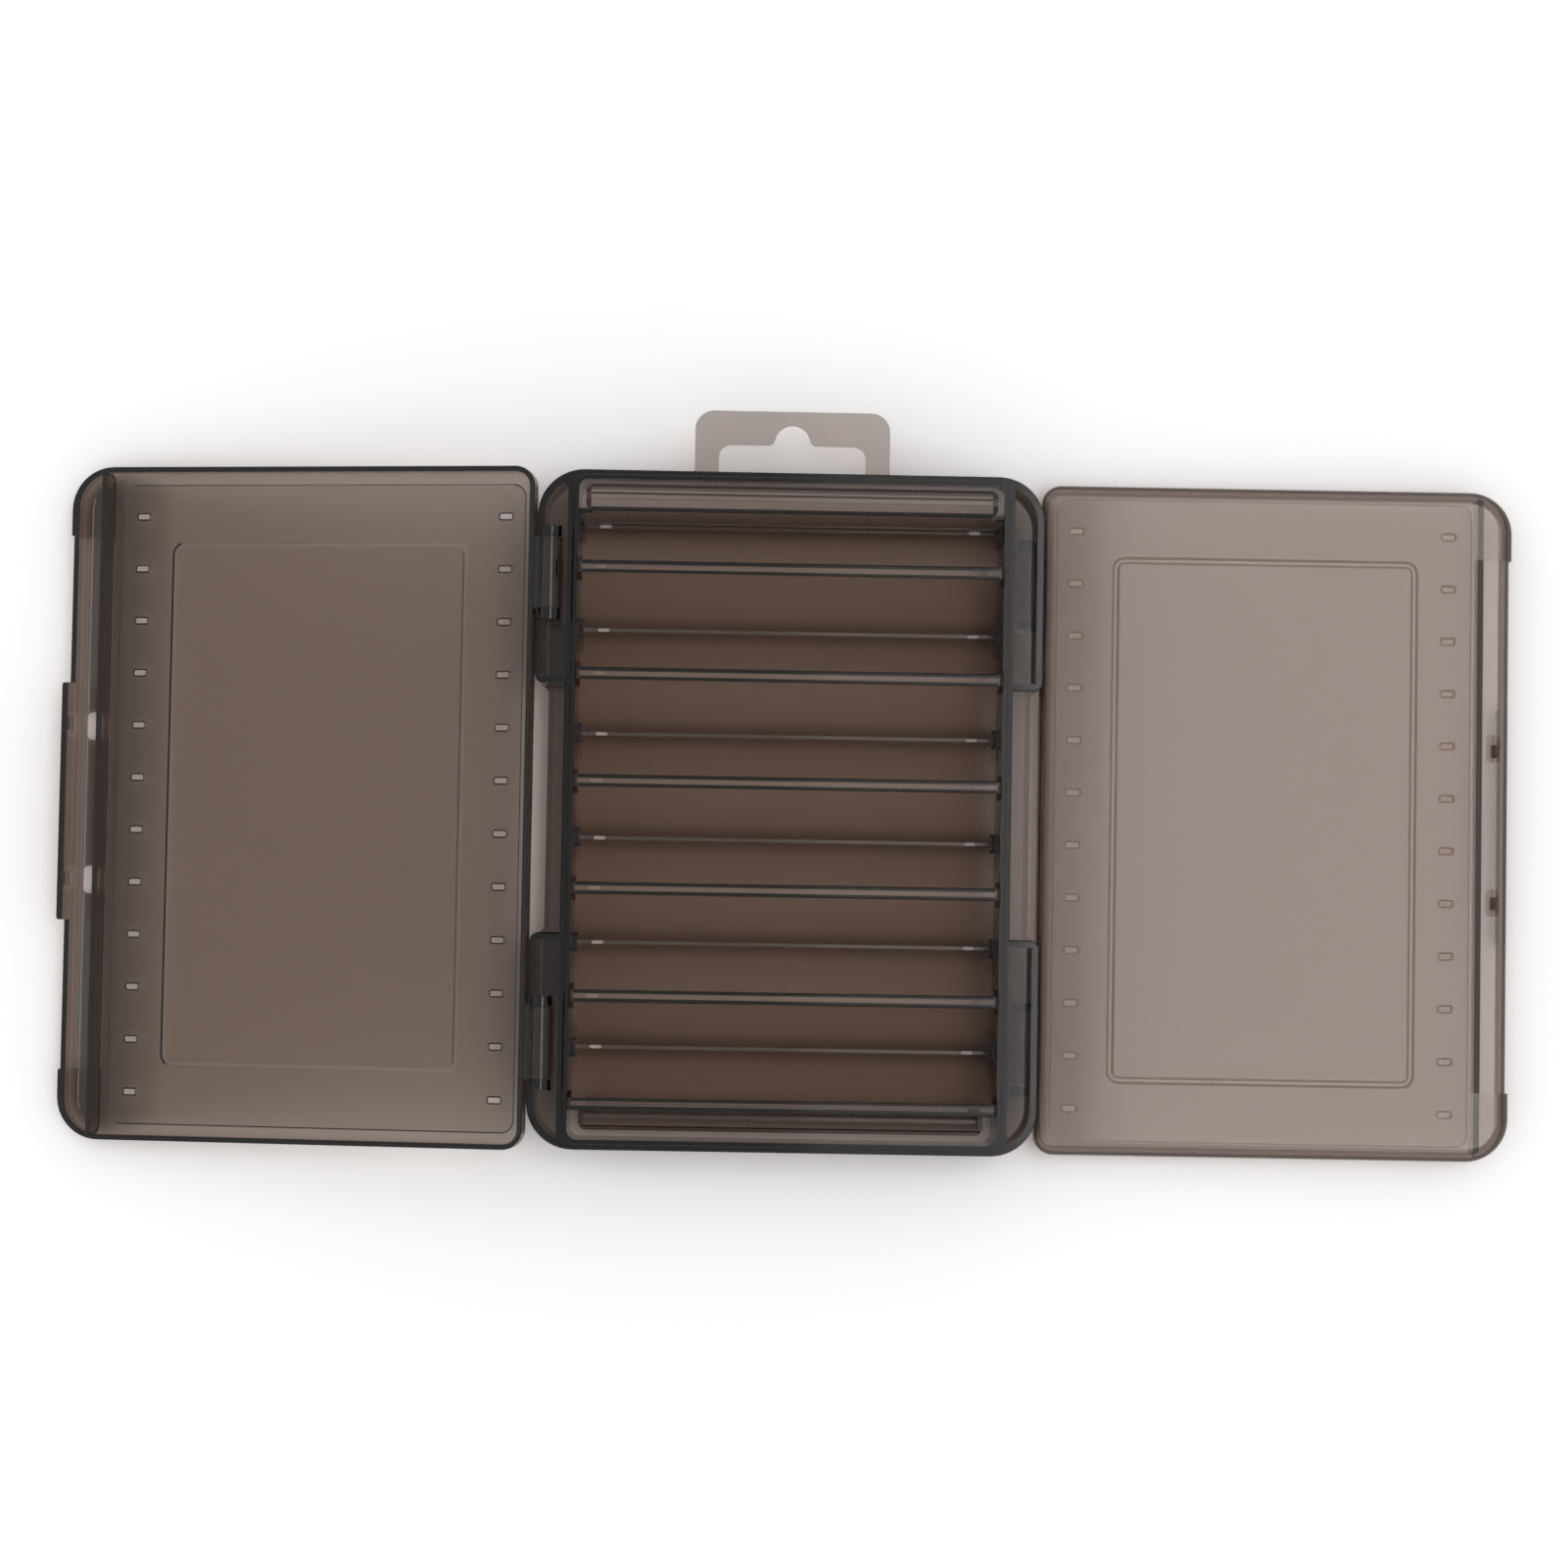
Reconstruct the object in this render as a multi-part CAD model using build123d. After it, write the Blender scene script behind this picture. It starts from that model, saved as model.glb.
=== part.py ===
from build123d import *
import os
from math import asin, atan2, degrees, hypot

# Lure box open on its back. Sizes in millimetres. Worked in a frame centred on the base:
# +X towards the back lid as it lies open, +Y towards the hang tab, +Z towards the front lid side.
# At the end everything is moved so that the origin lies on the back crest nearest the middle.

os.makedirs("parts", exist_ok=True)

# Zigzag divider
ROW_PITCH = 16.0
CREST_COUNT = 12
CREST_REACH = 18.0
SHEET = 1.4
CREST_FLAT = 3.5
CREST_ROUND = 0.5
SLOPE_FOOT = 0.5
RIDGE_OFFSET = 5.1
RIDGE_FLAT = 1.75
RIDGE_DROP = 1.5
RIDGE_SHELF = 1.9
RIDGE_DRAFT = 0.25
RIDGE_END_GAP = 2.4
RIDGE_END_ROUND = 2.4
TRAY_HALF_WIDTH = 64.0
CREST_END_ROUND = 1.6
DRAIN_LENGTH = 3.7
DRAIN_WIDTH = 1.1
GATE_RADIUS = 1.1
GATE_NUB = 0.45
GATE_DEPTH = 0.35

# Base frame
END_ROOM = 10.9
TONGUE_SIDE = 1.7
TONGUE_END = 1.6
TONGUE_STEP = 1.8
TONGUE_CHAMFER = 0.35
SHOULDER_HEIGHT = 10.7
SIDE_WALL = 3.3
END_WALL = 3.1
RIM_CHAMFER = 0.4
WING_WIDTH = 9.0
WING_WALL = 2.2
WING_CORNER = 14.0
WEB = 2.4
WINDOW_HALF = 37.35
POCKET_END_ROUND = 2.8
TRAY_CORNER = 3.0

# Lid
LIP_GAP = 0.2
RIM_GAP = 0.2
LID_WALL = 1.5
LID_END_WALL = 1.6
LATCH_WALL = 2.4
LATCH_REACH = 12.9
PANEL = 1.6
CREST_GAP = 0.4
LID_EDGE_ROUND = 4.4
LID_HINGE_CORNER = 6.0
LID_LATCH_CORNER = 13.0
PLATEAU_RISE = 0.4
PLATEAU_CORNER = 4.0
STRIP_DROP = 0.4
STRIP_HALF = 81.3
STRIP_INSET = 0.8
STRIP_START = 1.0
STRIP_SLOPE = 2.8
RIB = 1.8
VENT_COLUMN = 56.9
VENT_LENGTH = 3.9
VENT_WIDTH = 1.6
VENT_CORNER = 0.4
VENT_BEVEL = 0.45
FRAME_LENGTH = 160.7
FRAME_WIDTH = 93.5
FRAME_LINE = 2.3
FRAME_DEPTH = 0.5
FRAME_SLOPE = 0.8
FRAME_CORNER = 4.0
FRAME_OFFSET = 0.9

# Latch
FLAP_HALF = 36.0
FLAP_DROP = 6.0
FLAP_THICKNESS = 2.0
FLAP_CORNER = 1.3
FLAP_PROUD = 0.4
BUMP_LENGTH = 4.0
BUMP_PROUD = 1.4
BUMP_HEIGHT = 1.6
BUMP_OFFSET = 23.5
LATCH_GAP = 0.3
LEDGE = 1.5
LEDGE_LIP = 0.8
LEDGE_HEIGHT = 8.7
GUSSET = 1.4
CORE_LENGTH = 8.4
CORE_WIDTH = 4.2
CORE_ROUND = 1.5

# Hinge
AXIS_OUT = 4.8
AXIS_HEIGHT = 12.65
KNUCKLE_RADIUS = 3.0
KNUCKLE_SPAN = 22.0
KNUCKLE_CENTRE = 70.3
KNUCKLE_END_GAP = 0.2
EAR_WIDTH = 3.0
EAR_RADIUS = 3.2
PIN_RADIUS = 1.0
PIN_PLAY = 0.05
PIN_SHORT = 0.2
HINGE_CUT_DEPTH = 5.0

# Hang tab
TAB_WIDTH = 59.2
TAB_LENGTH = 18.6
TAB_THICKNESS = 1.0
TAB_CHAMFER = 0.25
TAB_CORNER = 5.7
TAB_LEG = 7.3
TAB_OPENING = 8.2
TAB_OPENING_ROUND = 3.8
HUMP_RADIUS = 5.4
HUMP_TOP = 14.3
HUMP_FILLET = 2.2
FILM_LENGTH = 1.4
FILM_THICKNESS = 0.4

# Sizes that follow
crest_span = (CREST_COUNT - 1) / 2 * ROW_PITCH
tray_half_length = crest_span + END_ROOM
tongue_side_out = TRAY_HALF_WIDTH + TONGUE_SIDE
tongue_end_out = tray_half_length + TONGUE_END
tongue_height = SHOULDER_HEIGHT + TONGUE_STEP
side_out = TRAY_HALF_WIDTH + SIDE_WALL
base_half_length = tray_half_length + END_WALL
base_half_width = side_out + WING_WIDTH
lid_rim = SHOULDER_HEIGHT + RIM_GAP
lid_inside = CREST_REACH + CREST_GAP
lid_top = lid_inside + PANEL
lid_half_length = tongue_end_out + LIP_GAP + LID_END_WALL
lid_hinge_face = -(tongue_side_out + LIP_GAP + LID_WALL)
lid_latch_face = TRAY_HALF_WIDTH + LATCH_REACH
axis_x = lid_hinge_face - AXIS_OUT
flap_out = lid_latch_face - STRIP_INSET + FLAP_PROUD
flap_in = flap_out - FLAP_THICKNESS
flap_tip = lid_rim - FLAP_DROP
ledge_out = flap_in - BUMP_PROUD - LATCH_GAP
tab_root = base_half_length + FILM_LENGTH


def mitred(points, offset):
    """The broken line moved sideways by offset, its corners mitred."""
    moved = []
    for i, (y, z) in enumerate(points):
        before = points[max(i - 1, 0)]
        after = points[min(i + 1, len(points) - 1)]
        arms = []
        for a, b in ((before, (y, z)), ((y, z), after)):
            length = hypot(b[0] - a[0], b[1] - a[1])
            if length > 0:
                arms.append((-(b[1] - a[1]) / length, (b[0] - a[0]) / length))
        ny = sum(n[0] for n in arms) / len(arms)
        nz = sum(n[1] for n in arms) / len(arms)
        scale = offset / (ny * ny + nz * nz)
        moved.append((y + ny * scale, z + nz * scale))
    return moved


def block(x0, x1, y0, y1, z0, z1):
    """A box from its limits."""
    return Pos((x0 + x1) / 2, (y0 + y1) / 2, (z0 + z1) / 2) * Box(x1 - x0, y1 - y0, z1 - z0)


def rounded_plan(x0, x1, y_half, corner_low, corner_high):
    """Rectangle in plan with one corner radius at its low X end and one at its high X end."""
    plan = Pos((x0 + x1) / 2, 0) * Rectangle(x1 - x0, 2 * y_half)
    low = plan.vertices().filter_by(lambda v: v.X < (x0 + x1) / 2)
    plan = fillet(low, corner_low)
    high = plan.vertices().filter_by(lambda v: v.X > x1 - 0.01)
    return fillet(high, corner_high)


def raised(plan, z0, z1):
    """The plan made solid between two levels."""
    return Pos(0, 0, z0) * extrude(plan, amount=z1 - z0)


def flat_edges(solid):
    """Edges of the top and bottom faces."""
    faces = solid.faces().sort_by(Axis.Z)
    return faces[0].edges() + faces[-1].edges()


def crests():
    """The Y and the side, -1 back or +1 front, of every crest, from the tab end."""
    return [(crest_span - k * ROW_PITCH, -1 if k % 2 == 0 else 1) for k in range(CREST_COUNT)]


def end_line(roofed):
    """Middle line of the sheet from the end wall to the first row, over the ridge or beside it."""
    half = SHEET / 2
    level = CREST_REACH - half
    shelf = SHOULDER_HEIGHT - half
    roof_foot = level - RIDGE_DROP
    inner_low = crest_span + CREST_FLAT / 2 - SLOPE_FOOT
    inner_high = inner_low + RIDGE_DRAFT
    outer = tray_half_length - RIDGE_SHELF - half
    ridge_mid = crest_span + RIDGE_OFFSET
    inner_shelf = inner_low + RIDGE_DRAFT * (shelf + level) / (roof_foot + level)
    if not roofed:
        return [(tray_half_length, shelf), (inner_shelf, shelf)]
    return [
        (tray_half_length, shelf),
        (outer, shelf),
        (outer, roof_foot),
        (ridge_mid + RIDGE_FLAT / 2, level),
        (ridge_mid - RIDGE_FLAT / 2, level),
        (inner_high, roof_foot),
        (inner_shelf, shelf),
    ]


def zigzag_face(end):
    """Section of the zigzag sheet between the two ends, across the crests."""
    half = SHEET / 2
    level = CREST_REACH - half
    flat = CREST_FLAT / 2 - SLOPE_FOOT
    line = list(end)
    for y, side in crests():
        line += [(y + flat, side * level), (y - flat, side * level)]
    line += [(-y, -z) for y, z in reversed(end)]
    outline = mitred(line, half) + list(reversed(mitred(line, -half)))
    face = make_face(Polyline(*[(0, y, z) for y, z in outline], close=True))
    bends = face.vertices().filter_by(lambda v: abs(v.Y) < tray_half_length - 0.1)
    return fillet(bends, CREST_ROUND)


def prism(points, x0, x1):
    """A prism along X from points in Y and Z."""
    face = make_face(Polyline(*[(x0, y, z) for y, z in points], close=True))
    return extrude(face, amount=x1 - x0, dir=(1, 0, 0))


def build_divider():
    """The zigzag sheet with its closed crest ends, end ridges and drain slots."""
    half = SHEET / 2
    level = CREST_REACH - half
    flat = CREST_FLAT / 2 - SLOPE_FOOT
    ridge_end = TRAY_HALF_WIDTH - RIDGE_END_GAP
    roofed = end_line(True)
    plain = zigzag_face(end_line(False))
    sheet = extrude(zigzag_face(roofed), amount=ridge_end, dir=(1, 0, 0), both=True)
    for x0 in (-TRAY_HALF_WIDTH, ridge_end):
        sheet += extrude(Pos(x0, 0, 0) * plain, amount=RIDGE_END_GAP, dir=(1, 0, 0))
    # Walls that close the ends of the hollow crests above the tongue
    slope = (ROW_PITCH - 2 * flat) / (2 * level)
    foot = tongue_height - SHEET
    wide = flat + slope * (level - foot)
    inner = roofed[-1][0]
    for x0 in (-TRAY_HALF_WIDTH, TRAY_HALF_WIDTH - SHEET):
        for y, side in crests():
            cap = [
                (max(y - wide, -inner), side * foot),
                (y - flat, side * level),
                (y + flat, side * level),
                (min(y + wide, inner), side * foot),
            ]
            sheet += prism(cap, x0, x0 + SHEET)
    # Walls that close the ends of the two ridges, which are rounded in plan above their shelves
    inner_face = roofed[-2][0] - half
    outer_face = roofed[1][0] + half
    for side in (-1, 1):
        gable = [(side * y, side * z) for y, z in roofed[1:]]
        for x0 in (-ridge_end, ridge_end - SHEET):
            sheet += prism(gable, x0, x0 + SHEET)
        plan = Pos(0, side * (inner_face + outer_face) / 2) * RectangleRounded(
            2 * ridge_end, outer_face - inner_face, RIDGE_END_ROUND
        )
        y0, y1 = sorted((side * (inner_face - 1), side * (outer_face + 1)))
        z0, z1 = sorted((side * SHOULDER_HEIGHT, side * (CREST_REACH + 1)))
        zone = block(-TRAY_HALF_WIDTH, TRAY_HALF_WIDTH, y0, y1, z0, z1)
        sheet -= zone - raised(plan, z0, z1)
    # Ends of the crests are rounded where they meet the lid's inner corner
    plan = Plane.XZ * RectangleRounded(2 * TRAY_HALF_WIDTH, 2 * CREST_REACH, CREST_END_ROUND)
    sheet &= extrude(plan, amount=base_half_length, both=True)
    tray = RectangleRounded(2 * TRAY_HALF_WIDTH, 2 * tray_half_length, TRAY_CORNER)
    sheet &= raised(tray, -2 * CREST_REACH, 2 * CREST_REACH)
    # Drain slots near both ends of every crest, and the gate mark at its middle
    drain = RectangleRounded(DRAIN_LENGTH, DRAIN_WIDTH, DRAIN_WIDTH / 2 - 0.05)
    gate = Circle(GATE_RADIUS) - Circle(GATE_NUB)
    for y, side in crests():
        for x in (-VENT_COLUMN, VENT_COLUMN):
            low, high = sorted((side * (CREST_REACH - 2 * SHEET), side * (CREST_REACH + SHEET)))
            sheet -= Pos(x, y, low) * extrude(drain, amount=high - low)
        low, high = sorted((side * (CREST_REACH - GATE_DEPTH), side * (CREST_REACH + SHEET)))
        sheet -= Pos(0, y, low) * extrude(gate, amount=high - low)
    return sheet


def build_ear(y):
    """One hinge ear of the front hinge, standing on the wing's web."""
    plate = Plane.XZ.offset(-y) * (
        Pos(axis_x, AXIS_HEIGHT) * Circle(EAR_RADIUS)
        + Pos(axis_x, AXIS_HEIGHT / 2) * Rectangle(2 * EAR_RADIUS, AXIS_HEIGHT)
    )
    return extrude(plate, amount=EAR_WIDTH / 2, both=True)


def build_hinge_side():
    """Ears of the front hinge, and what is cut away for its knuckles."""
    ears = []
    cuts = []
    for side in (-1, 1):
        centre = side * KNUCKLE_CENTRE
        reach = (KNUCKLE_SPAN + EAR_WIDTH) / 2
        ears += [build_ear(centre - reach), build_ear(centre + reach)]
        low = centre - KNUCKLE_SPAN / 2
        high = centre + KNUCKLE_SPAN / 2
        cuts.append(block(-base_half_width - 1, -side_out, low, high, HINGE_CUT_DEPTH, AXIS_HEIGHT * 2))
    return ears, cuts


def build_latch_ledge():
    """Ledge on the +X side that the front lid's bumps hook under, from hinge ear to hinge ear."""
    half = KNUCKLE_CENTRE - KNUCKLE_SPAN / 2 - EAR_WIDTH
    under = LEDGE_HEIGHT - LEDGE
    ledge = block(side_out, ledge_out, -half, half, under, LEDGE_HEIGHT)
    ledge += block(ledge_out - LEDGE, ledge_out, -half, half, under - LEDGE_LIP, LEDGE_HEIGHT)
    # Gussets in the corners between the ledge and the ends of the window
    for side in (-1, 1):
        corner = Polyline(
            (ledge_out, side * WINDOW_HALF),
            (ledge_out + GUSSET, side * WINDOW_HALF),
            (ledge_out, side * (WINDOW_HALF - GUSSET)),
            close=True,
        )
        ledge += raised(make_face(corner), under - LEDGE_LIP, LEDGE_HEIGHT)
    return ledge


def build_base():
    """The frame round the tray with wings, ears, ledges and the raised tongue on both sides."""
    outer = rounded_plan(-base_half_width, base_half_width, base_half_length, WING_CORNER, WING_CORNER)
    for side in (-1, 1):
        window_mid = side * (side_out + base_half_width + 1) / 2
        outer -= Pos(window_mid, 0) * Rectangle(WING_WIDTH + 1, 2 * WINDOW_HALF)
    wing_ends = outer.vertices().filter_by(
        lambda v: abs(abs(v.Y) - WINDOW_HALF) < 0.01 and abs(abs(v.X) - base_half_width) < 0.01
    )
    outer = fillet(wing_ends, POCKET_END_ROUND)
    body = raised(outer, -SHOULDER_HEIGHT, SHOULDER_HEIGHT)
    body = chamfer(flat_edges(body), RIM_CHAMFER)
    tongue = raised(
        RectangleRounded(2 * tongue_side_out, 2 * tongue_end_out, TRAY_CORNER + TONGUE_SIDE),
        -tongue_height,
        tongue_height,
    )
    body += chamfer(flat_edges(tongue), TONGUE_CHAMFER)
    tray = RectangleRounded(2 * TRAY_HALF_WIDTH, 2 * tray_half_length, TRAY_CORNER)
    body -= raised(tray, -2 * tongue_height, 2 * tongue_height)
    # Wing pockets, open to both sides of a mid web
    pocket_plan = rounded_plan(
        -base_half_width + WING_WALL,
        base_half_width - WING_WALL,
        base_half_length - WING_WALL,
        WING_CORNER - WING_WALL,
        WING_CORNER - WING_WALL,
    )
    long = base_half_length
    for side in (-1, 1):
        x_in = side * side_out
        x_out = side * (base_half_width + 1)
        x0, x1 = sorted((x_in, x_out))
        for end in (-1, 1):
            y0, y1 = sorted((end * (WINDOW_HALF + WING_WALL), end * long))
            area = Pos((x0 + x1) / 2, (y0 + y1) / 2) * Rectangle(x1 - x0, y1 - y0)
            pocket = pocket_plan & area
            body -= raised(pocket, WEB / 2, tongue_height)
            body -= raised(pocket, -tongue_height, -WEB / 2)
    ears, cuts = build_hinge_side()
    ledge = build_latch_ledge()
    turn = Rot(0, 180, 0)
    for cut in cuts:
        body -= cut
        body -= turn * cut
    for ear in ears:
        body += ear
        body += turn * ear
    body += ledge
    body += turn * ledge
    bore = Plane.XZ * (Pos(axis_x, AXIS_HEIGHT) * Circle(PIN_RADIUS))
    bore = extrude(bore, amount=base_half_length, both=True)
    body -= bore
    body -= turn * bore
    return body


def build_lid_shell():
    """The dished panel with its rim, raised plateau and lowered latch strip."""
    top = lid_top - PLATEAU_RISE

    def pillow(x_high, z_high):
        plan = rounded_plan(lid_hinge_face, x_high, lid_half_length, LID_HINGE_CORNER, LID_LATCH_CORNER)
        solid = raised(plan, lid_rim, z_high)
        rim = solid.faces().sort_by(Axis.Z)[-1].edges()
        return fillet(rim, LID_EDGE_ROUND - PLATEAU_RISE)

    shell = pillow(lid_latch_face, top)
    # The strip starts at the foot of a shallow slope
    slope_top = TRAY_HALF_WIDTH + STRIP_START
    section = Polyline(
        (slope_top + STRIP_SLOPE, 0),
        (slope_top + STRIP_SLOPE, top - STRIP_DROP),
        (slope_top - STRIP_SLOPE, top + STRIP_DROP),
        (slope_top - STRIP_SLOPE, 2 * lid_top),
        (2 * lid_latch_face, 2 * lid_top),
        (2 * lid_latch_face, 0),
        close=True,
    )
    zone = extrude(Plane.XZ * make_face(section), amount=STRIP_HALF, both=True)
    shell = (shell - zone) + (pillow(lid_latch_face - STRIP_INSET, top - STRIP_DROP) & zone)
    plateau_low = lid_hinge_face + LID_EDGE_ROUND
    plateau_mid = (plateau_low + TRAY_HALF_WIDTH) / 2
    plateau = Pos(plateau_mid, 0) * RectangleRounded(
        TRAY_HALF_WIDTH - plateau_low, 2 * (lid_half_length - LID_EDGE_ROUND), PLATEAU_CORNER
    )
    pad = raised(plateau, top - PLATEAU_RISE, lid_top)
    pad = chamfer(pad.faces().sort_by(Axis.Z)[-1].edges(), PLATEAU_RISE * 0.9)
    shell += pad
    hollow_plan = rounded_plan(
        lid_hinge_face + LID_WALL,
        lid_latch_face - LATCH_WALL,
        lid_half_length - LID_END_WALL,
        LID_HINGE_CORNER - LID_WALL,
        LID_LATCH_CORNER - LATCH_WALL,
    )
    hollow = raised(hollow_plan, lid_rim - 1, lid_inside)
    hollow = fillet(hollow.faces().sort_by(Axis.Z)[-1].edges(), LID_EDGE_ROUND - PANEL)
    shell -= hollow
    rib_in = tongue_side_out + LIP_GAP
    rib = raised(hollow_plan, lid_rim, lid_inside + PANEL / 2) & block(
        rib_in, rib_in + RIB, -lid_half_length, lid_half_length, 0, lid_top
    )
    return shell + rib


def flared(width, length, corner, depth, slope):
    """Cutter for a recess whose sides lean out by slope; its size is given at the face it cuts."""
    faces = []
    for z, grow in ((0, -slope), (2 * depth, slope)):
        outline = RectangleRounded(width + 2 * grow, length + 2 * grow, corner + grow)
        faces.append(Pos(0, 0, z) * outline)
    return loft(faces, ruled=True)


def frame_groove():
    """What the frame line's groove takes out: a flat floor between two sloping sides."""
    outer = flared(FRAME_WIDTH, FRAME_LENGTH, FRAME_CORNER, FRAME_DEPTH, FRAME_SLOPE)
    inner = flared(
        FRAME_WIDTH - 2 * FRAME_LINE,
        FRAME_LENGTH - 2 * FRAME_LINE,
        FRAME_CORNER - FRAME_LINE,
        FRAME_DEPTH,
        -FRAME_SLOPE,
    )
    return outer - inner


def build_front_lid():
    """The front lid as it stands when closed."""
    lid = build_lid_shell()
    # Vent slots over the drain slots, with a bevel round their outer ends
    through = RectangleRounded(VENT_LENGTH, VENT_WIDTH, VENT_CORNER)
    bevel = flared(
        VENT_LENGTH + 2 * VENT_BEVEL,
        VENT_WIDTH + 2 * VENT_BEVEL,
        VENT_CORNER + VENT_BEVEL,
        VENT_BEVEL,
        VENT_BEVEL,
    )
    for y, _ in crests():
        for x in (-VENT_COLUMN, VENT_COLUMN):
            lid -= Pos(x, y, 0) * raised(through, lid_inside - PANEL, lid_top + PANEL)
            lid -= Pos(x, y, lid_top - VENT_BEVEL) * bevel
    lid -= Pos(FRAME_OFFSET, 0, lid_top - FRAME_DEPTH) * frame_groove()
    # Latch flap with its snap bumps, and the openings that core them
    flap = block(flap_in, flap_out, -FLAP_HALF, FLAP_HALF, flap_tip, lid_rim + PANEL)
    tips = flap.edges().filter_by(Axis.X).group_by(Axis.Z)[0]
    lid += fillet(tips, FLAP_CORNER)
    bump = block(
        flap_in - BUMP_PROUD, flap_in, -BUMP_LENGTH / 2, BUMP_LENGTH / 2, flap_tip, flap_tip + BUMP_HEIGHT
    )
    bump = fillet(bump.faces().sort_by(Axis.X)[0].edges(), BUMP_HEIGHT * 0.3)
    core_x = (tongue_side_out + LIP_GAP + RIB + lid_latch_face - LATCH_WALL) / 2
    core = RectangleRounded(CORE_WIDTH, CORE_LENGTH, CORE_ROUND)
    for side in (-1, 1):
        lid += Pos(0, side * BUMP_OFFSET, 0) * bump
        lid -= Pos(core_x, side * BUMP_OFFSET, 0) * raised(core, lid_inside - PANEL, lid_top + 1)
    # Knuckles and the arms that carry them
    for side in (-1, 1):
        centre = side * KNUCKLE_CENTRE
        reach = KNUCKLE_SPAN / 2 - KNUCKLE_END_GAP
        profile = Pos(axis_x, AXIS_HEIGHT) * Circle(KNUCKLE_RADIUS)
        arm_x = lid_hinge_face + LID_WALL / 2
        arm_top = AXIS_HEIGHT + KNUCKLE_RADIUS
        profile += Pos((axis_x + arm_x) / 2, (lid_rim + arm_top) / 2) * Rectangle(
            arm_x - axis_x, arm_top - lid_rim
        )
        lid += extrude(Plane.XZ.offset(-centre) * profile, amount=reach, both=True)
    bore = Plane.XZ * (Pos(axis_x, AXIS_HEIGHT) * Circle(PIN_RADIUS + PIN_PLAY))
    return lid - extrude(bore, amount=lid_half_length, both=True)


def build_pin(side):
    """One pin of the front hinge."""
    reach = KNUCKLE_SPAN / 2 + EAR_WIDTH - PIN_SHORT
    pin = Plane.XZ.offset(-side * KNUCKLE_CENTRE) * (Pos(axis_x, AXIS_HEIGHT) * Circle(PIN_RADIUS))
    return extrude(pin, amount=reach, both=True)


def build_tab():
    """The hang tab, with the opening for a hook."""
    plate = Pos(0, tab_root + TAB_LENGTH / 2) * Rectangle(TAB_WIDTH, TAB_LENGTH)
    plate = fillet(plate.vertices().group_by(Axis.Y)[-1], TAB_CORNER)
    opening = Pos(0, tab_root + TAB_OPENING / 2) * Rectangle(TAB_WIDTH - 2 * TAB_LEG, TAB_OPENING)
    opening = fillet(opening.vertices().group_by(Axis.Y)[-1], TAB_OPENING_ROUND)
    # The hump is a round top that flares out to the opening through two concave arcs
    rise = HUMP_TOP - HUMP_RADIUS
    flare_y = TAB_OPENING + HUMP_FILLET
    both = HUMP_RADIUS + HUMP_FILLET
    flare_x = (both**2 - (flare_y - rise) ** 2) ** 0.5
    touch_y = rise + (flare_y - rise) * HUMP_RADIUS / both
    foot = TAB_OPENING / 2
    hump = Pos(0, (foot + touch_y) / 2) * Rectangle(2 * flare_x, touch_y - foot)
    for side in (-1, 1):
        hump -= Pos(side * flare_x, flare_y) * Circle(HUMP_FILLET)
    hump += Pos(0, rise) * Circle(HUMP_RADIUS)
    opening += Pos(0, tab_root) * hump
    tab = raised(plate - opening, -TAB_THICKNESS / 2, TAB_THICKNESS / 2)
    return chamfer(flat_edges(tab), TAB_CHAMFER)


def build_film(side):
    """One thin film that the tab folds on."""
    x0, x1 = sorted((side * (TAB_WIDTH / 2 - TAB_LEG), side * TAB_WIDTH / 2))
    return block(x0, x1, base_half_length, tab_root, -FILM_THICKNESS / 2, FILM_THICKNESS / 2)


def turned(shape, x, z, angle):
    """The shape turned about a line along Y through x and z."""
    return Pos(x, 0, z) * Rot(0, angle, 0) * Pos(-x, 0, -z) * shape


def lowest_turn(reach_x, reach_z, drop):
    """How far a point must turn about the hinge to come down by drop."""
    return degrees(asin(drop / hypot(reach_x, reach_z)) - atan2(reach_z, reach_x))


# The front lid tilts past flat until its far rounded edge is on the table
edge_round = LID_EDGE_ROUND - PLATEAU_RISE
front_tilt = lowest_turn(
    lid_latch_face - edge_round - axis_x,
    lid_top - PLATEAU_RISE - edge_round - AXIS_HEIGHT,
    CREST_REACH + AXIS_HEIGHT - edge_round,
)
# The back lid stops with the tip of its latch flap on the table
tip_x = flap_in - BUMP_PROUD - axis_x
back_tilt = -lowest_turn(tip_x, AXIS_HEIGHT - flap_tip, CREST_REACH - AXIS_HEIGHT)

closed_lid = build_front_lid()
half_turn = Rot(0, 180, 0)
pieces = {
    "base_frame": build_base(),
    "tray_divider": build_divider(),
    "front_lid": turned(closed_lid, axis_x, AXIS_HEIGHT, -180 - front_tilt),
    "back_lid": turned(half_turn * closed_lid, -axis_x, -AXIS_HEIGHT, -180 - back_tilt),
    "front_pin_upper": build_pin(1),
    "front_pin_lower": build_pin(-1),
    "back_pin_upper": half_turn * build_pin(1),
    "back_pin_lower": half_turn * build_pin(-1),
    "hang_tab": build_tab(),
    "tab_film_left": build_film(-1),
    "tab_film_right": build_film(1),
}

to_row = Pos(0, ROW_PITCH / 2, CREST_REACH)
for name, shape in pieces.items():
    export_step(to_row * shape, f"parts/{name}.step")
    box = (to_row * shape).bounding_box()
    print(f"{name}: {len(shape.solids())} solid, {shape.volume:.1f} mm3, {box.min} {box.max}")
print(f"front lid tilt {front_tilt:.4f}, back lid tilt {back_tilt:.4f}")
print(f"hinge axes x {axis_x:.3f} z {AXIS_HEIGHT + CREST_REACH:.3f} and {CREST_REACH - AXIS_HEIGHT:.3f}")
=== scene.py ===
import logging
import math
from dataclasses import dataclass
from enum import Enum

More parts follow.
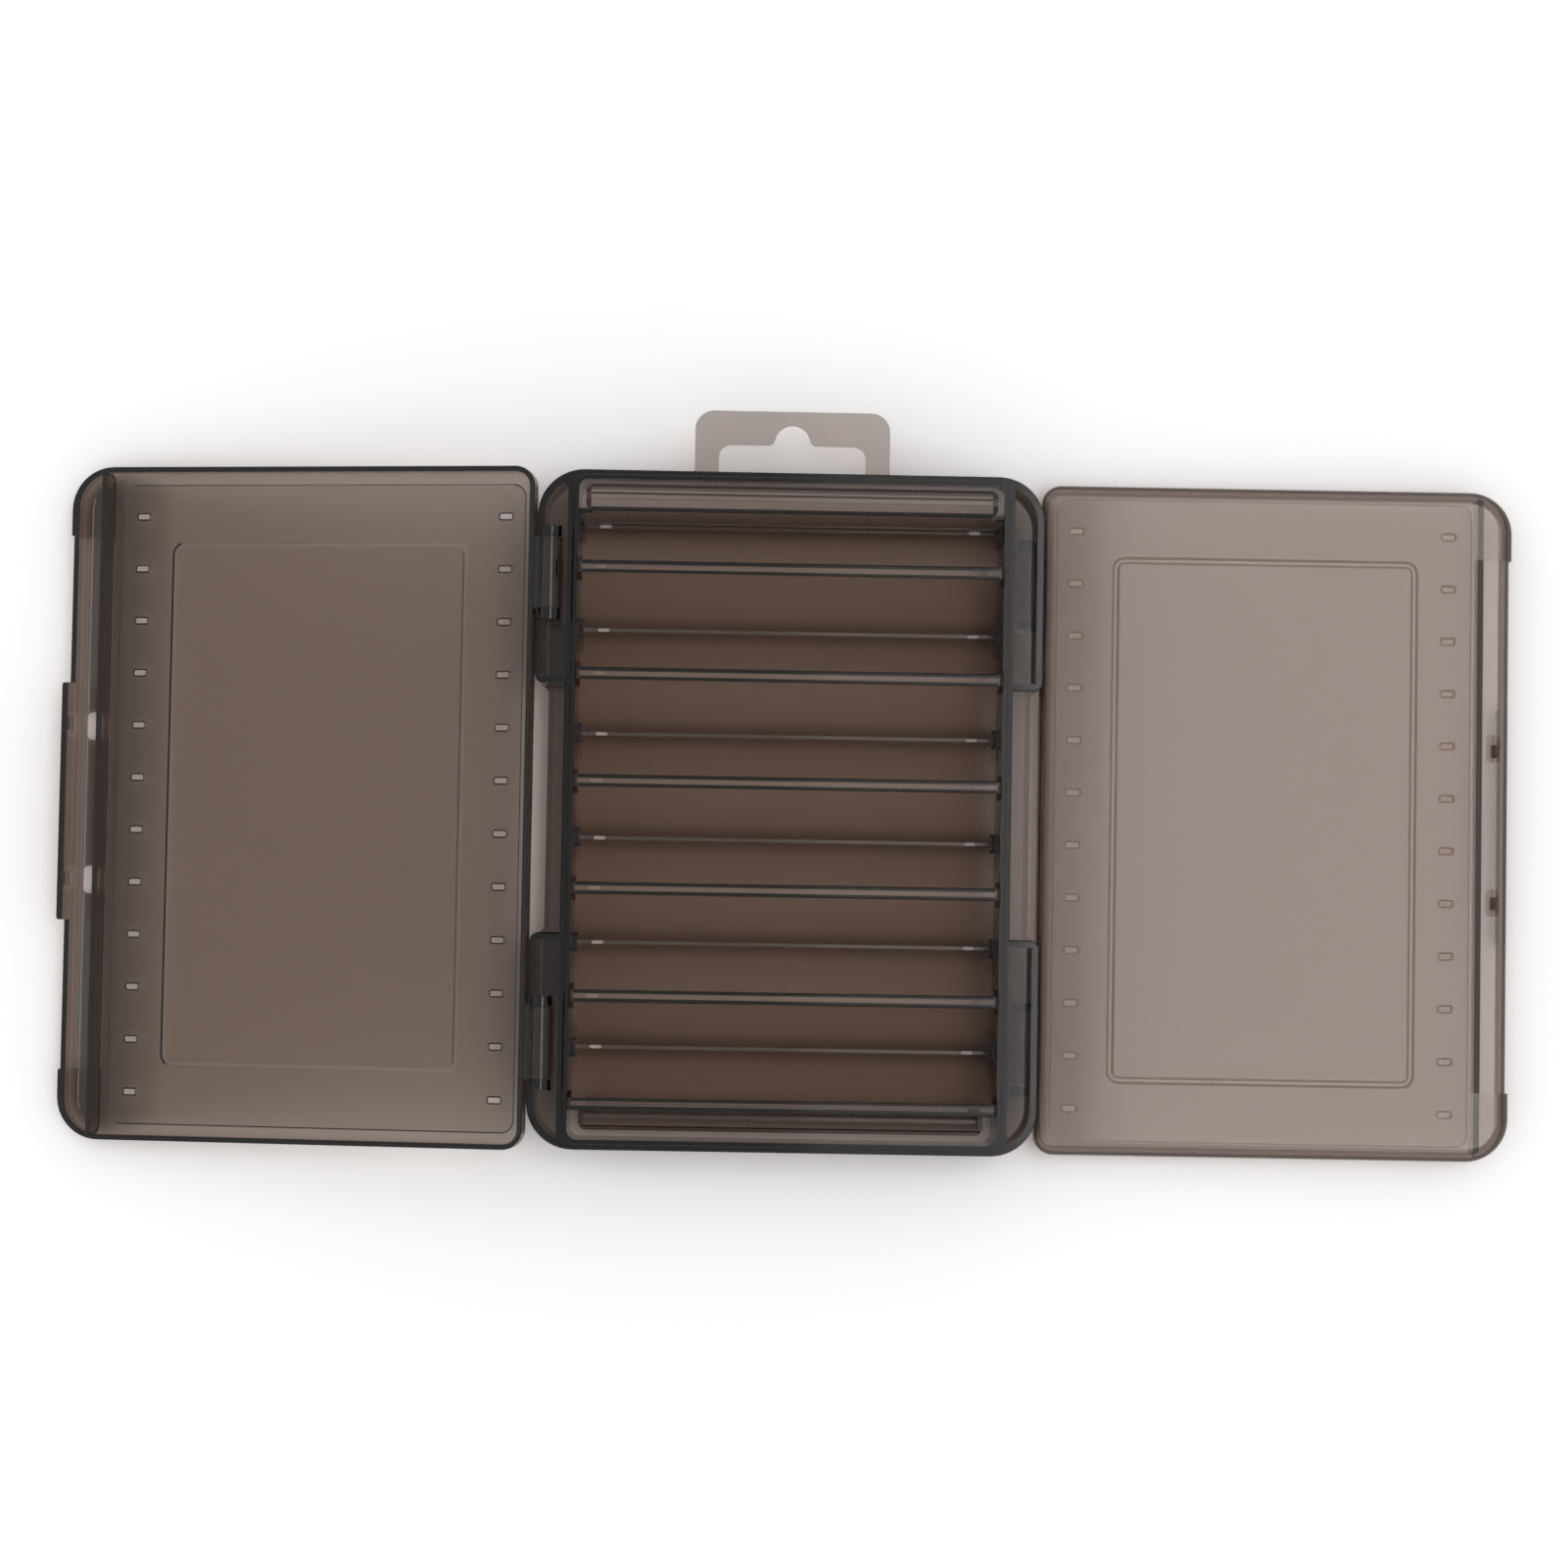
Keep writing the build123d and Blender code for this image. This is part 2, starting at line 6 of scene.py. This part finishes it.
import bpy
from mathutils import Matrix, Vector


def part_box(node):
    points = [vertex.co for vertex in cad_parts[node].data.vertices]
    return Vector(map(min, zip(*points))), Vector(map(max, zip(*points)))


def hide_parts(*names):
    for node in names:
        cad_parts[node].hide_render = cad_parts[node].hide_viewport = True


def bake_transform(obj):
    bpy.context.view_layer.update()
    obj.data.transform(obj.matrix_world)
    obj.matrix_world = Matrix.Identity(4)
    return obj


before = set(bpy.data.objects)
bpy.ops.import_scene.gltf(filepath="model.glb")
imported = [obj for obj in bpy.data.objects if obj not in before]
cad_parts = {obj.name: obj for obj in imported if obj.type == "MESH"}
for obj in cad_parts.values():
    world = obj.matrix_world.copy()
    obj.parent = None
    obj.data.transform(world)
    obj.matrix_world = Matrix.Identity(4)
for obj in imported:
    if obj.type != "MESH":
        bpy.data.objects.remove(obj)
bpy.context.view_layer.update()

LOG = logging.getLogger("lure_box")
MM = 0.001

# Sockets that share their name with others of their node, so they go by number
SHADER_ELSE = 1
SHADER_THEN = 2
COLOUR_FROM = 6
COLOUR_TO = 7
COLOUR_MIXED = 2

# Density of a medium over what its most swallowed colour needs, so that its tint keeps half of that colour
DENSITY_ROOM = 2.0

# Rays with which the table feels how open a spot is, to paint its shade
OPENNESS_RAYS = 16

Point = tuple[float, float, float]
Colour = tuple[float, float, float]
Pair = tuple[float, float]


class Side(Enum):
    """Sides of the box, each with its rows, its lid and its two pins."""

    FRONT = "front"
    BACK = "back"


class End(Enum):
    """Ends of a hinge line, each with a pin."""

    UPPER = "upper"
    LOWER = "lower"


class Hand(Enum):
    """Legs of the hang tab, each with a film."""

    LEFT = "left"
    RIGHT = "right"


class Body(Enum):
    """Rigid bodies that the films of the hang tab join."""

    BASE = "base"
    TAB = "hang_tab_body"


class Ray(Enum):
    """Kinds of ray that a material tells apart."""

    CAMERA = "Is Camera Ray"
    SHADOW = "Is Shadow Ray"


class Recipe:
    """A fresh node material and what its finish adds to it.

    Attributes:
        material: The Blender material.
        out: Its output node, the only one at the start.
    """

    def __init__(self, name: str) -> None:
        """Starts the material.

        Args:
            name: Name of the material.
        """
        self.material: bpy.types.Material = bpy.data.materials.new(name)
        self.material.use_nodes = True
        self.material.node_tree.nodes.clear()
        self.out: bpy.types.Node = self.add("ShaderNodeOutputMaterial")

    def add(self, kind: str) -> bpy.types.Node:
        """Adds a node of that kind and returns it."""
        return self.material.node_tree.nodes.new(kind)

    def link(self, source: bpy.types.NodeSocket, target: bpy.types.NodeSocket) -> None:
        """Joins an output socket to an input socket."""
        self.material.node_tree.links.new(source, target)

    def by_ray(self, ray: Ray, then: bpy.types.Node, otherwise: bpy.types.Node) -> None:
        """Gives the surface one shader for one kind of ray, and another for all the rest.

        Args:
            ray: The kind of ray.
            then: Shader that these rays meet.
            otherwise: Shader that all other rays meet.
        """
        path = self.add("ShaderNodeLightPath")
        mix = self.add("ShaderNodeMixShader")
        self.link(path.outputs[ray.value], mix.inputs["Fac"])
        self.link(otherwise.outputs["BSDF"], mix.inputs[SHADER_ELSE])
        self.link(then.outputs["BSDF"], mix.inputs[SHADER_THEN])
        self.link(mix.outputs["Shader"], self.out.inputs["Surface"])


@dataclass(frozen=True)
class Ripple:
    """Slow waviness of a moulded or drawn surface.

    Attributes:
        height: Height of the waves, in metres.
        scale: Waves per metre.
        detail: Finer waves on top of these.
    """

    height: float
    scale: float
    detail: float = 1.0

    def bend(self, recipe: Recipe, skin: bpy.types.Node) -> None:
        """Gives a shader this waviness.

        Args:
            recipe: The material that is being made.
            skin: Its shader node, which takes the normal.
        """
        place = recipe.add("ShaderNodeTexCoord")
        noise = recipe.add("ShaderNodeTexNoise")
        noise.inputs["Scale"].default_value = self.scale
        noise.inputs["Detail"].default_value = self.detail
        bump = recipe.add("ShaderNodeBump")
        bump.inputs["Distance"].default_value = self.height
        recipe.link(place.outputs["Object"], noise.inputs["Vector"])
        recipe.link(noise.outputs["Fac"], bump.inputs["Height"])
        recipe.link(bump.outputs["Normal"], skin.inputs["Normal"])


@dataclass(frozen=True)
class SmokePlastic:
    """Smoke tinted clear moulding: a glossy skin over a medium that swallows light by thickness.

    Attributes:
        name: Name of the Blender material.
        absorb: Light swallowed per metre of red, green and blue.
        haze_and_sheen: Share of the skin that scatters instead of letting light through, partly real haze
            and partly painted sheen.
        haze_and_sheen_colour: Colour of that scattered light.
        shade: Share of the light that each skin lets into the shadows.
        roughness: Roughness of the skin.
        refraction: How strongly the plastic bends light.
        ripple: Waviness of the skin.
    """

    name: str
    absorb: Colour
    haze_and_sheen: float = 0.0
    haze_and_sheen_colour: Colour = (0.8, 0.8, 0.8)
    shade: float = 0.95
    roughness: float = 0.08
    refraction: float = 1.5
    ripple: Ripple = Ripple(height=0.00002, scale=60.0)

    def build(self) -> bpy.types.Material:
        """Makes the node material.

        Returns:
            The finished Blender material.
        """
        recipe = Recipe(self.name)
        skin = recipe.add("ShaderNodeBsdfPrincipled")
        # The skin's scattering part is partly real haze and partly painted sheen that stands in for lamp
        # reflections
        skin.inputs["Base Color"].default_value = opaque(self.haze_and_sheen_colour)
        skin.inputs["Roughness"].default_value = self.roughness
        skin.inputs["IOR"].default_value = self.refraction
        skin.inputs["Transmission Weight"].default_value = 1.0 - self.haze_and_sheen
        self.ripple.bend(recipe, skin)
        medium = recipe.add("ShaderNodeVolumeAbsorption")
        density = max(self.absorb) * DENSITY_ROOM
        red, green, blue = (1.0 - share / density for share in self.absorb)
        medium.inputs["Color"].default_value = opaque((red, green, blue))
        medium.inputs["Density"].default_value = density
        recipe.link(medium.outputs["Volume"], recipe.out.inputs["Volume"])
        # Light from a lamp or the sky goes straight through, tinted by the medium and dimmed by each skin
        clear = recipe.add("ShaderNodeBsdfTransparent")
        clear.inputs["Color"].default_value = opaque((self.shade, self.shade, self.shade))
        recipe.by_ray(Ray.SHADOW, then=clear, otherwise=skin)
        return recipe.material


@dataclass(frozen=True)
class DarkRod:
    """Dark semi gloss rod of the hinge pins.

    Attributes:
        name: Name of the Blender material.
        colour: Base colour.
        roughness: Roughness of the surface.
        ripple: Fine waviness of the drawn rod.
    """

    name: str
    colour: Colour = (0.02, 0.02, 0.02)
    roughness: float = 0.35
    ripple: Ripple = Ripple(height=0.00001, scale=900.0)

    def build(self) -> bpy.types.Material:
        """Makes the node material.

        Returns:
            The finished Blender material.
        """
        recipe = Recipe(self.name)
        skin = recipe.add("ShaderNodeBsdfPrincipled")
        skin.inputs["Base Color"].default_value = opaque(self.colour)
        skin.inputs["Roughness"].default_value = self.roughness
        self.ripple.bend(recipe, skin)
        recipe.link(skin.outputs["BSDF"], recipe.out.inputs["Surface"])
        return recipe.material


@dataclass(frozen=True)
class PaleTable:
    """Pale table: white in the open and grey under the plastic, with painted shade that makes it grey
    where the box closes it in and darker where the plastic touches it.

    Attributes:
        name: Name of the Blender material.
        seen: Colour of the open table, above 1 because the light alone wouldn't make it white.
        painted_nook_shade: Painted shade: colour of the table in narrow gaps of the box.
        nook_shade_reach: How near walls have to be to close the table in for that painted shade, in
            metres.
        nook_shade_open: Openness at which a gap starts, with its painted shade full, and at which the
            table is open.
        through: Colour that shows through the plastic.
        contact_shade: Share of that colour left where the plastic touches the table: painted shade.
        contact_shade_reach: How near the plastic has to be to darken the table with painted shade, in
            metres.
        contact_shade_open: Openness where the plastic touches, and where the painted shade darkens
            nothing.
    """

    name: str
    seen: Colour
    painted_nook_shade: Colour
    nook_shade_reach: float
    nook_shade_open: Pair
    through: Colour
    contact_shade: float
    contact_shade_reach: float
    contact_shade_open: Pair = (0.0, 1.0)

    def build(self) -> bpy.types.Material:
        """Makes the node material.

        Returns:
            The finished Blender material.
        """
        recipe = Recipe(self.name)
        # Painted shade: the colour seen through the plastic, darkened where the plastic touches the table
        red, green, blue = (self.contact_shade * share for share in self.through)
        # Painted shade: the table seen straight on turns grey in narrow gaps of the box, by how open it is
        direct = self.shade_by_openness(recipe, self.nook_shade_reach, self.nook_shade_open, self.painted_nook_shade, self.seen)
        under = self.shade_by_openness(
            recipe, self.contact_shade_reach, self.contact_shade_open, (red, green, blue), self.through
        )
        recipe.by_ray(Ray.CAMERA, then=direct, otherwise=under)
        return recipe.material

    @staticmethod
    def shade_by_openness(
        recipe: Recipe, reach: float, span: Pair, shaded: Colour, free: Colour
    ) -> bpy.types.Node:
        """Makes a diffuse shader with painted shade: one colour in closed corners, another in the open.

        Args:
            recipe: The material that is being made.
            reach: How near walls have to be to close a corner in, in metres.
            span: Openness of a closed corner and of the open.
            shaded: Painted shade colour in closed corners.
            free: Colour in the open.

        Returns:
            The shader node.
        """
        near = recipe.add("ShaderNodeAmbientOcclusion")
        near.samples = OPENNESS_RAYS
        near.inputs["Distance"].default_value = reach
        ramp = recipe.add("ShaderNodeMapRange")
        ramp.inputs["From Min"].default_value, ramp.inputs["From Max"].default_value = span
        tone = recipe.add("ShaderNodeMix")
        tone.data_type = "RGBA"
        tone.inputs[COLOUR_FROM].default_value = opaque(shaded)
        tone.inputs[COLOUR_TO].default_value = opaque(free)
        shader = recipe.add("ShaderNodeBsdfDiffuse")
        recipe.link(near.outputs["AO"], ramp.inputs["Value"])
        recipe.link(ramp.outputs["Result"], tone.inputs["Factor"])
        recipe.link(tone.outputs[COLOUR_MIXED], shader.inputs["Color"])
        return shader


def opaque(colour: Colour) -> tuple[float, float, float, float]:
    """The colour with full alpha, as a socket takes it."""
    return (*colour, 1.0)


def dress(node: str, material: bpy.types.Material) -> bpy.types.Object:
    """Puts a material on a CAD node.

    Args:
        node: Name of the node.
        material: Its material.

    Returns:
        The node's object.
    """
    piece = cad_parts[node]
    piece.data.materials.clear()
    piece.data.materials.append(material)
    return piece


def add_object(name: str, data: bpy.types.ID) -> bpy.types.Object:
    """Makes an object of a mesh, lamp or camera and puts it in the scene.

    Args:
        name: Name of the object.
        data: The mesh, lamp or camera.

    Returns:
        The new object.
    """
    made = bpy.data.objects.new(name, data)
    bpy.context.scene.collection.objects.link(made)
    return made


def add_mesh(
    name: str, corners: list[Point], faces: list[tuple[int, ...]], material: bpy.types.Material
) -> bpy.types.Object:
    """Makes a mesh object.

    Args:
        name: Name of the object and of its mesh.
        corners: Its vertices, in metres.
        faces: The vertices of each face by number, anticlockwise seen from outside.
        material: Its material.

    Returns:
        The new object.
    """
    mesh = bpy.data.meshes.new(name)
    mesh.from_pydata(corners, [], faces)
    mesh.materials.append(material)
    return add_object(name, mesh)


@dataclass
class Base:
    """The base moulding: frame, zigzag divider and the four hinge pins.

    Attributes:
        frame_finish: Finish of the outer frame.
        divider_finish: Finish of the zigzag divider.
        pin_finish: Finish of the hinge pins.
    """

    frame_finish: SmokePlastic
    divider_finish: SmokePlastic
    pin_finish: DarkRod

    def build(self) -> list[bpy.types.Object]:
        """Dresses the pieces of the base.

        Returns:
            The frame, the divider and the four pins.
        """
        mouldings = [
            dress("base_frame", self.frame_finish.build()),
            dress("tray_divider", self.divider_finish.build()),
        ]
        rod = self.pin_finish.build()
        pins = [f"{side.value}_pin_{end.value}" for side in Side for end in End]
        return mouldings + [dress(pin, rod) for pin in pins]


@dataclass
class Lid:
    """One of the two lids.

    Attributes:
        side: The side of the box that it closes.
        finish: Its finish.
    """

    side: Side
    finish: SmokePlastic

    def build(self) -> list[bpy.types.Object]:
        """Dresses the lid and returns it."""
        return [dress(f"{self.side.value}_lid", self.finish.build())]


@dataclass
class HangTab:
    """The hang tab and the films it folds on.

    Attributes:
        finish: Finish of the tab and its films.
        waist: Share of a film's thickness that is missing in its middle.
        steps: Rings along a film, so that its thickness changes smoothly.
    """

    finish: SmokePlastic
    waist: float = 0.45
    steps: int = 8

    def build(self) -> list[bpy.types.Object]:
        """Dresses the tab and makes films that are thinner in the middle.

        Returns:
            The tab and its two films.
        """
        plastic = self.finish.build()
        return [dress("hang_tab", plastic)] + [self.film(hand, plastic) for hand in Hand]

    def film(self, hand: Hand, plastic: bpy.types.Material) -> bpy.types.Object:
        """Makes one film, thinner in its middle, between the base and the tab in place of its stiff CAD
        node.

        Args:
            hand: The leg of the tab that the film belongs to.
            plastic: Its material.

        Returns:
            The film's object.
        """
        node = f"tab_film_{hand.value}"
        low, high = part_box(node)
        corners, faces = self.strip(low, high)
        film = add_mesh(f"{node}_bent", corners, faces, plastic)
        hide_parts(node)
        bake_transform(film)
        return film

    def strip(self, low: Vector, high: Vector) -> tuple[list[Point], list[tuple[int, ...]]]:
        """Works out a closed strip along Y that is thinner in its middle.

        Args:
            low: Lowest corner of the strip.
            high: Its highest corner.

        Returns:
            Its vertices, four to a ring, and its faces.
        """
        ring = 4
        level = (low.z + high.z) / 2
        corners = []
        for i in range(self.steps + 1):
            share = i / self.steps
            y = low.y + share * (high.y - low.y)
            half = (high.z - low.z) / 2 * (1.0 - self.waist * math.sin(math.pi * share))
            below, above = level - half, level + half
            corners += [(low.x, y, below), (high.x, y, below), (high.x, y, above), (low.x, y, above)]
        last = ring * self.steps
        faces = [tuple(range(ring))]
        for first in range(0, last, ring):
            for j in range(ring):
                k = (j + 1) % ring
                faces.append((first + j, first + ring + j, first + ring + k, first + k))
        faces.append(tuple(reversed(range(last, last + ring))))
        return corners, faces


@dataclass(frozen=True)
class SoftBox:
    """One soft box that hangs over the table and shines straight down.

    Attributes:
        name: Name of the lamp.
        place: Where its middle hangs, in metres.
        size: Width and depth, in metres.
        brightness: Brightness of its face, 1 being white.
        colour: Its colour.
    """

    name: str
    place: Point
    size: Pair
    brightness: float
    colour: Colour

    def build(self) -> bpy.types.Object:
        """Hangs the lamp.

        Returns:
            The lamp's object.
        """
        data = bpy.data.lights.new(self.name, "AREA")
        data.shape = "RECTANGLE"
        data.size, data.size_y = self.size
        data.energy = self.brightness * math.pi * self.size[0] * self.size[1]
        data.color = self.colour
        lamp = add_object(self.name, data)
        lamp.location = self.place
        return lamp


@dataclass(frozen=True)
class Sky:
    """Even light from all sides that changes a little from the horizon upwards.

    Attributes:
        horizon: Strength at the horizon and below it.
        zenith: Strength straight up.
    """

    horizon: float
    zenith: float

    def build(self) -> None:
        """Lights the scene's world."""
        world = bpy.data.worlds.new("studio")
        world.use_nodes = True
        nodes = world.node_tree.nodes
        links = world.node_tree.links
        place = nodes.new("ShaderNodeTexCoord")
        split = nodes.new("ShaderNodeSeparateXYZ")
        ramp = nodes.new("ShaderNodeMapRange")
        ramp.inputs["To Min"].default_value = self.horizon
        ramp.inputs["To Max"].default_value = self.zenith
        back = nodes["Background"]
        back.inputs["Color"].default_value = opaque((1.0, 1.0, 1.0))
        links.new(place.outputs["Generated"], split.inputs["Vector"])
        links.new(split.outputs["Z"], ramp.inputs["Value"])
        links.new(ramp.outputs["Result"], back.inputs["Strength"])
        bpy.context.scene.world = world


@dataclass
class Studio:
    """Table, sky and lamps.

    Attributes:
        table: Finish of the table.
        half_size: Half the table's side, in metres.
        drop: How far the table lies under the box, in metres.
        sky: The light from all sides.
        lamps: The soft boxes.
    """

    table: PaleTable
    half_size: float
    drop: float
    sky: Sky
    lamps: tuple[SoftBox, ...]

    def build(self) -> list[bpy.types.Object]:
        """Builds the studio round the box.

        Returns:
            The table and the lamps.
        """
        h = self.half_size
        corners = [(-h, -h, 0.0), (h, -h, 0.0), (h, h, 0.0), (-h, h, 0.0)]
        table = add_mesh("table", corners, [(0, 1, 2, 3)], self.table.build())
        table.location.z = -self.drop
        self.sky.build()
        return [table] + [lamp.build() for lamp in self.lamps]


@dataclass(frozen=True)
class Viewpoint:
    """The camera of the picture.

    Attributes:
        place: Where the camera is, in millimetres.
        turn: Its Euler angles, in degrees.
        lens: Focal length for a picture as wide as the sensor, in millimetres.
        sensor: Width of the sensor, in millimetres.
        nearest: How near the camera sees, in metres.
        furthest: How far it sees, in metres.
    """

    place: Point
    turn: Point
    lens: float
    sensor: float = 36.0
    nearest: float = 0.01
    furthest: float = 20.0

    def build(self) -> list[bpy.types.Object]:
        """Sets up the camera.

        Returns:
            The camera's object.
        """
        data = bpy.data.cameras.new("camera")
        data.sensor_fit = "HORIZONTAL"
        data.sensor_width = self.sensor
        data.lens = self.lens
        data.clip_start = self.nearest
        data.clip_end = self.furthest
        camera = add_object("camera", data)
        camera.location = [length * MM for length in self.place]
        camera.rotation_euler = [math.radians(angle) for angle in self.turn]
        bpy.context.scene.camera = camera
        return [camera]


def main() -> None:
    """Builds the box and its studio in order, and reports each piece."""
    logging.basicConfig(level=logging.INFO, format="%(name)s: %(message)s")
    bpy.context.scene.view_settings.view_transform = "Standard"
    lid_tint = (295.0, 390.0, 448.0)
    assemblies = (
        Base(
            # The frame's medium swallows far more light than the divider's, though both are one moulding:
            # painted shade that darkens the wing pockets over the shadowed table
            frame_finish=SmokePlastic("smoke frame", absorb=(480.0, 610.0, 690.0), shade=0.22),
            divider_finish=SmokePlastic("smoke divider", absorb=(172.0, 250.0, 300.0)),
            pin_finish=DarkRod("pin rod"),
        ),
        # The back lid scatters far more than the front lid, though both are one plastic, and so does the
        # tab: painted sheen standing in for the lamp's reflection on them
        Lid(Side.FRONT, SmokePlastic("smoke front lid", absorb=lid_tint, haze_and_sheen=0.01)),
        Lid(Side.BACK, SmokePlastic("smoke back lid", absorb=lid_tint, haze_and_sheen=0.055)),
        HangTab(SmokePlastic("smoke tab", absorb=(190.0, 270.0, 310.0), haze_and_sheen=0.06)),
        Studio(
            table=PaleTable(
                "table",
                seen=(1.5, 1.5, 1.5),
                painted_nook_shade=(1.12, 1.06, 1.05),
                nook_shade_reach=0.03,
                nook_shade_open=(0.4, 0.75),
                through=(0.98, 0.935, 0.905),
                contact_shade=0.3,
                contact_shade_reach=0.004,
            ),
            half_size=6.0,
            drop=0.0002,
            sky=Sky(horizon=0.7, zenith=0.58),
            lamps=(
                SoftBox(
                    "right box",
                    place=(0.405, 0.045, 1.5),
                    size=(0.41, 0.63),
                    brightness=2.65,
                    colour=(1.0, 0.94, 0.92),
                ),
                SoftBox(
                    "middle box",
                    place=(0.12, 0.1, 1.5),
                    size=(0.16, 0.6),
                    brightness=0.55,
                    colour=(1.0, 0.94, 0.94),
                ),
            ),
        ),
        Viewpoint(place=(-16.8, -33.5, 1078.7), turn=(2.696, -0.910, 0.992), lens=80.534),
    )
    for assembly in assemblies:
        for piece in assembly.build():
            LOG.info("%s: %s", type(assembly).__name__, piece.name)


if __name__ == "__main__":
    main()
